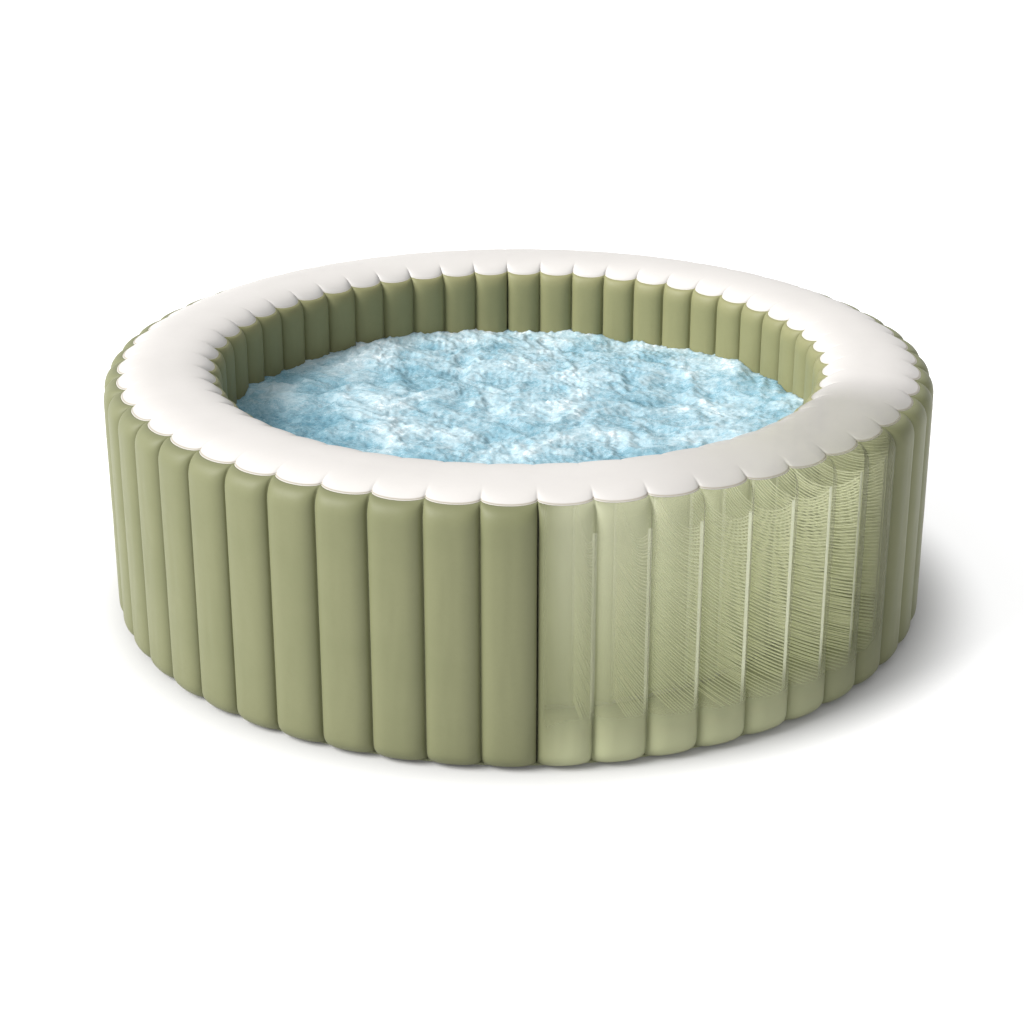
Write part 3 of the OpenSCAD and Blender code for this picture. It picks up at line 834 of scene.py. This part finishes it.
# ---------------------------------------------------------------- water
def water():
    """Churned water up to the inner wall, made of waves from large to small. Its foam is on the crests."""
    n = 300
    x, y = disc_grid(n)
    r = np.hypot(x, y)
    az = np.arctan2(x, -y)
    u = ((az / PITCH + 0.5) % 1 - 0.5) * 2
    edge = inner_side(u) - 0.0004
    plain = IN_R - 0.001
    reach = plain + (edge - plain) * step(0.95, 1.0, r)
    px, py = x * reach, y * reach
    wx = px + 0.035 * noise(px * 7, py * 7, 31)
    wy = py + 0.035 * noise(px * 7, py * 7, 32)
    big = noise(wx * 3.6, wy * 3.6, 1) * 0.015
    mid = (1 - np.abs(noise(wx * 8.5, wy * 8.5, 2)) * 2.0) * 0.0088
    small = (1 - np.abs(noise(wx * 21, wy * 21, 3)) * 2.0) * 0.0042
    tiny = (1 - np.abs(noise(px * 48, py * 48, 4)) * 2.0) * 0.0028
    chop = noise(px * 90, py * 90, 5) * 0.0016
    h = big + mid + small + tiny + chop
    z = WATER_Z + h
    foam = 0.5 + h * 14 + 0.5 * fbm(wx * 5 + 3, wy * 5, 41, 4, 0.6)
    front = 0.85 * step(0.45, 0.85, r) * step(-0.3, 0.5, -py - 0.25 * px)
    far_edge = 0.3 * step(0.82, 1.0, r) * step(0.2, 0.6, py)
    foam = foam - front + far_edge
    ob = slab("water", px, py, z, WATER_Z - WATER_DEEP, mat_water)
    at = ob.data.attributes.new("foam", "FLOAT", "POINT")
    under = np.full(len(ob.data.vertices) - n * n, 0.5)
    at.data.foreach_set("value", np.clip(np.concatenate([foam.ravel(), under]), 0, 1).astype(np.float32))
    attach(ob, "tub")


water()


# ---------------------------------------------------------------- threaded spigots
MOUNTS = {m["name"]: m for m in frame["record"]["mounts"]}
FLANGE_T = 0.006
SCREW_PITCH, SCREW_DEEP = 0.0045, 0.0016


def spigot(port, flange_r):
    """A flanged spigot with a moulded thread, made as one closed band of points round its axis."""
    pin, bore = MOUNTS[f"{port}_spigot"], MOUNTS[f"{port}_bore"]
    axis, centre = np.array(pin["axis"]), np.array(pin["pos_m"])
    r, rb = pin["dims"]["r_mm"] / 1000, bore["dims"]["r_mm"] / 1000
    half = pin["dims"]["length_mm"] / 2000
    back, face, end = -half - FLANGE_T, -half, half
    e = 0.0012  # rounding of the flange's edges
    outline = [(back, rb), (back, flange_r - e), (back + 0.4 * e, flange_r - 0.4 * e), (back + e, flange_r)]
    outline += [(face - e, flange_r), (face - 0.4 * e, flange_r - 0.4 * e), (face, flange_r - e)]
    outline += [(face, r + 0.003), (face + 0.0008, r + 0.001), (face + 0.0025, r - 0.0008)]
    first = len(outline)
    outline += [(t, r) for t in np.linspace(face + 0.004, end - 0.002, 54)]
    last = len(outline)
    outline += [(end - 0.0008, r - 0.0016), (end, r - 0.0026), (end, rb + 0.0008), (end - 0.0008, rb)]
    turns = np.linspace(0, 2 * math.pi, 73)[:-1]
    along = np.array([o[0] for o in outline])[:, None] + 0 * turns
    radius = np.array([o[1] for o in outline])[:, None] + 0 * turns
    phase = (along / SCREW_PITCH - turns / (2 * math.pi)) % 1
    ridge = np.clip(1.6 - np.abs(phase - 0.5) * 5.2, 0, 1)
    runs = step(face + 0.004, face + 0.008, along) * step(end - 0.001, end - 0.005, along)
    runs[:first], runs[last:] = 0, 0
    row = np.arange(len(outline))[:, None]
    radius = radius - np.where((row >= first) & (row < last), SCREW_DEEP * (1 - ridge * runs), 0)
    up = np.array([0, 0, 1.0])
    side = np.cross(up, axis)
    out = np.cos(turns)[:, None] * side + np.sin(turns)[:, None] * up
    p = centre + along[..., None] * axis + radius[..., None] * out
    p = np.concatenate([p, p[:1]])
    rows, cols = p.shape[0] - 1, p.shape[1]
    q = grid_faces(rows + 1, cols, True)
    q = np.where(q >= rows * cols, q - rows * cols, q)
    ob = mesh_piece(f"{port}_thread", p[:-1].reshape(-1, 3), [q], mat_grey)
    ob.data.set_sharp_from_angle(angle=math.radians(40))
    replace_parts(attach(ob, "tub"), f"{port}_port_spigot")


spigot("outlet", 0.045)
spigot("inlet", 0.045)
spigot("air", 0.033)


# ---------------------------------------------------------------- valve spring
def valve_coil(length=0.013, coil_r=0.0052, wire_r=0.0007, turns=5.5):
    """A wound wire with flat end turns, made at one fixed length; the real spring shortens as the stem goes
    in.
    """
    push = [j for j in frame["record"]["behaviour"]["joints"] if j["name"] == "valve_push"][0]
    axis = -np.array(push["axis"])
    fixed = np.array(push["deforming_nodes"][0]["fixed_end_m"])
    up = np.array([0, 0, 1.0])
    side = np.cross(up, axis)
    t = np.linspace(0, 1, 24 * 6 + 1)
    height = wire_r + (length - 2 * wire_r) * step(0.02, 0.98, t)
    turn = 2 * math.pi * turns * t
    out = np.cos(turn)[:, None] * side + np.sin(turn)[:, None] * up
    ring = np.linspace(0, 2 * math.pi, 11)[:-1]
    across = np.cos(ring)[None, :, None] * out[:, None] + np.sin(ring)[None, :, None] * axis
    p = fixed + height[:, None, None] * axis + coil_r * out[:, None] + wire_r * across
    last = (len(t) - 1) * len(ring)
    caps = np.array([np.arange(len(ring))[::-1], np.arange(len(ring)) + last])
    ob = mesh_piece("valve_coil", p.reshape(-1, 3), [grid_faces(len(t), len(ring), True), caps], mat_steel)
    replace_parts(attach(ob, "tub"), "valve_spring")
    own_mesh(ob)


valve_coil()


# ---------------------------------------------------------------- fittings: CAD nodes with their materials
PORTS = ("outlet_port", "inlet_port", "air_port")
FITTINGS = (
    (mat_grey, [f"{port}_body" for port in PORTS] + ["drain_body", "valve_body"]),
    (mat_rubber, [f"{port}_gasket" for port in PORTS] + ["drain_cap_seal", "drain_plug"]),
    (mat_steel, [f"{port}_screws" for port in PORTS] + ["valve_cover_pin"]),
    (mat_white, ["outlet_strainer_cover", "inlet_strainer_cover", "air_elbow", "bubble_ring", "valve_stem"]),
    (mat_dark, ["drain_cap", "valve_cover"]),
)
for material, names in FITTINGS:
    for name in names:
        node = frame["nodes"][name]
        node.data.materials.clear()
        node.data.materials.append(material)


# ---------------------------------------------------------------- camera, light and floor
def stand_camera():
    """The camera's place is in outer groove radii, and it looks down at the tub from the front."""
    turn, pitch, yaw = math.radians(1.70), 0.39188, 0.00711
    place = Vector((-0.0512922, -4.958571, 2.239593)) * OUT_GROOVE
    fwd = Vector((math.sin(yaw) * math.cos(pitch), math.cos(yaw) * math.cos(pitch), -math.sin(pitch)))
    right = Vector((math.cos(yaw), -math.sin(yaw), 0))
    up = right.cross(fwd)
    m = Matrix((right, up, -fwd)).transposed().to_4x4()
    m.translation = place
    data = bpy.data.cameras.new("camera")
    data.lens = 72.815
    data.sensor_width = 36.0
    data.clip_end = 100
    cam = bpy.data.objects.new("camera", data)
    cam.matrix_world = Matrix.Rotation(turn, 4, "Z") @ m
    bpy.context.scene.collection.objects.link(cam)
    bpy.context.scene.camera = cam


def sun(name, azimuth, elevation, strength, softness, colour):
    """Azimuth is measured from -Y, turning towards +X, and strength is against a white sky of 1."""
    data = bpy.data.lights.new(name, "SUN")
    data.energy = strength * math.pi
    data.angle = math.radians(softness)
    data.color = colour
    ob = bpy.data.objects.new(name, data)
    a, e = math.radians(azimuth), math.radians(elevation)
    towards = Vector((math.sin(a) * math.cos(e), -math.cos(a) * math.cos(e), math.sin(e)))
    ob.location = towards * 6
    ob.rotation_mode = "QUATERNION"
    ob.rotation_quaternion = (-towards).to_track_quat("-Z", "Y")
    bpy.context.scene.collection.objects.link(ob)


def studio_world():
    """White round the horizon. Overhead it is softer, and darker on the right than on the left."""
    world = bpy.data.worlds.new("studio")
    world.use_nodes = True
    t = world.node_tree
    back = t.nodes["Background"]
    coord = t.nodes.new("ShaderNodeTexCoord")
    split = t.nodes.new("ShaderNodeSeparateXYZ")
    t.links.new(coord.outputs["Generated"], split.inputs[0])
    side = t.nodes.new("ShaderNodeMapRange")
    flag = t.nodes.new("ShaderNodeMapRange")
    ramp = t.nodes.new("ShaderNodeMapRange")
    flag.interpolation_type = ramp.interpolation_type = "SMOOTHSTEP"
    ranges = ((side, (-1.0, 1.0, 0.98, 0.46)), (flag, (0.4, 0.9, 1.0, 0.15)), (ramp, (0.06, 0.34, 1.02)))
    for node, values in ranges:
        for i, v in enumerate(values):
            node.inputs[i + 1].default_value = v
    both = t.nodes.new("ShaderNodeMath")
    both.operation = "MULTIPLY"
    t.links.new(split.outputs[0], side.inputs[0])
    t.links.new(split.outputs[0], flag.inputs[0])
    t.links.new(side.outputs[0], both.inputs[0])
    t.links.new(flag.outputs[0], both.inputs[1])
    t.links.new(both.outputs[0], ramp.inputs[4])
    t.links.new(split.outputs[2], ramp.inputs[0])
    t.links.new(ramp.outputs[0], back.inputs["Strength"])
    back.inputs["Color"].default_value = (1.0, 1.0, 1.0, 1.0)
    bpy.context.scene.world = world


stand_camera()
sun("key", -68, 40, 1.55, 34, (1.0, 0.99, 0.975))
studio_world()


def floor_material():
    """Pale paper with a painted glow away from the tub, so that it meets the white backdrop. The glow fades
    near the tub, which paints a shadow round its foot.
    """
    m = new_material("studio_floor")
    n = Nodes(m)
    paper = n.noise(3.0, 4.0, 0.5)
    x, y, _ = n.xyz()
    away = n.math("SQRT", n.math("ADD", n.math("MULTIPLY", x, x), n.math("MULTIPLY", y, y)))
    colour = n.mix(paper, (0.48, 0.48, 0.48, 1), (0.5, 0.5, 0.5, 1))
    # Painted glow, weak at the tub's foot and strong farther out: a painted shadow round the tub.
    painted_floor_glow = n.ramp(away, OUT_R - 0.06, OUT_R + 0.22, 0.04, 0.74)
    n.surface(
        Base_Color=colour,
        Roughness=0.95,
        Specular_IOR_Level=0.0,
        Emission_Color=(1, 1, 1, 1),
        Emission_Strength=painted_floor_glow,
    )
    return m


bpy.ops.mesh.primitive_plane_add(size=80, location=(0, 0, -0.0002))
ground = bpy.context.object
ground.name = "studio_floor"
ground.data.materials.append(floor_material())

bpy.context.scene.view_settings.view_transform = "Standard"
bpy.context.scene.view_settings.look = "None"
bpy.context.scene.view_settings.exposure = 0.0
